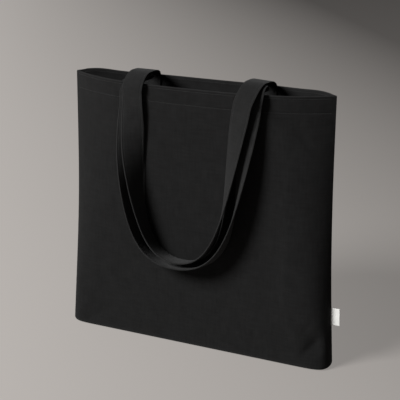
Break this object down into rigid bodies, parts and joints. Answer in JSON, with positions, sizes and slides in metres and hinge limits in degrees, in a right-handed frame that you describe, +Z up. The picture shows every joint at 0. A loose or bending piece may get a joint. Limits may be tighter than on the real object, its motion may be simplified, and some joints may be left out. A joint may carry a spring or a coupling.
{
  "type": "tote bag",
  "caption": "Open canvas tote bag with a boxed base, a turned-in hem, long webbing handles that hang over the front and a small folded side label.",
  "frame": {"origin": "middle of the base, on the floor it stands on", "axes": "+Z up, -Y towards the front panel that the handles hang over, +X towards the side seam with the label"},
  "size_m": [0.4267, 0.1077, 0.4008],
  "materials": {
    "black_canvas": "matte plain-weave cotton canvas",
    "black_strap": "matte folded canvas strap",
    "black_thread": "sewing thread, soft sheen",
    "white_ribbon": "smooth woven ribbon, plain"
  },
  "bodies": {
    "bag": {"front_panel": "black_canvas", "back_panel": "black_canvas", "front_hem": "black_canvas", "back_hem": "black_canvas", "left_side_seam": "black_canvas", "right_side_seam": "black_canvas", "bottom_seam": "black_canvas", "left_corner_fold": "black_canvas", "right_corner_fold": "black_canvas", "front_hem_stitching": "black_thread", "back_hem_stitching": "black_thread", "front_handle_left_tail": "black_strap", "front_handle_right_tail": "black_strap", "back_handle_left_tail": "black_strap", "back_handle_right_tail": "black_strap", "front_tail_stitching": "black_thread", "back_tail_stitching": "black_thread", "back_handle_left_rear_bend": "black_strap", "back_handle_right_rear_bend": "black_strap", "front_handle_left_bend": "black_strap", "front_handle_right_bend": "black_strap"},
    "back_handle_bridge": {"back_handle_left_bridge": "black_strap", "back_handle_right_bridge": "black_strap", "back_handle_left_front_bend": "black_strap", "back_handle_right_front_bend": "black_strap"},
    "back_handle_loop": {"back_handle_loop": "black_strap"},
    "front_handle_loop": {"front_handle_loop": "black_strap"},
    "side_label": {"side_label": "white_ribbon"}
  },
  "joints": [
    {"name": "back_handle_lift", "type": "hinge", "parent": "bag", "child": "back_handle_bridge", "pos_m": [0, 0.032, 0.389], "axis": [-1, 0, 0], "range_deg": [0, 88], "deforming": ["back_handle_left_rear_bend", "back_handle_right_rear_bend"]},
    {"name": "back_handle_unfold", "type": "hinge", "parent": "back_handle_bridge", "child": "back_handle_loop", "pos_m": [0, -0.038, 0.385], "axis": [-1, 0, 0], "range_deg": [0, 88], "deforming": ["back_handle_left_front_bend", "back_handle_right_front_bend"]},
    {"name": "front_handle_lift", "type": "hinge", "parent": "bag", "child": "front_handle_loop", "pos_m": [0, -0.037, 0.4], "axis": [-1, 0, 0], "range_deg": [0, 176], "deforming": ["front_handle_left_bend", "front_handle_right_bend"]},
    {"name": "label_flap", "type": "hinge", "parent": "bag", "child": "side_label", "pos_m": [0.20556, 0, 0.064], "axis": [-0.0415, 0, 0.9991], "range_deg": [-55, 55], "stiffness_Nm_per_rad": 0.0002}
  ],
  "couplings": [
    {"joint": "back_handle_unfold", "follows": "back_handle_lift", "ratio": 1},
    {"joint": "front_handle_lift", "follows": "back_handle_lift", "ratio": 2}
  ]
}
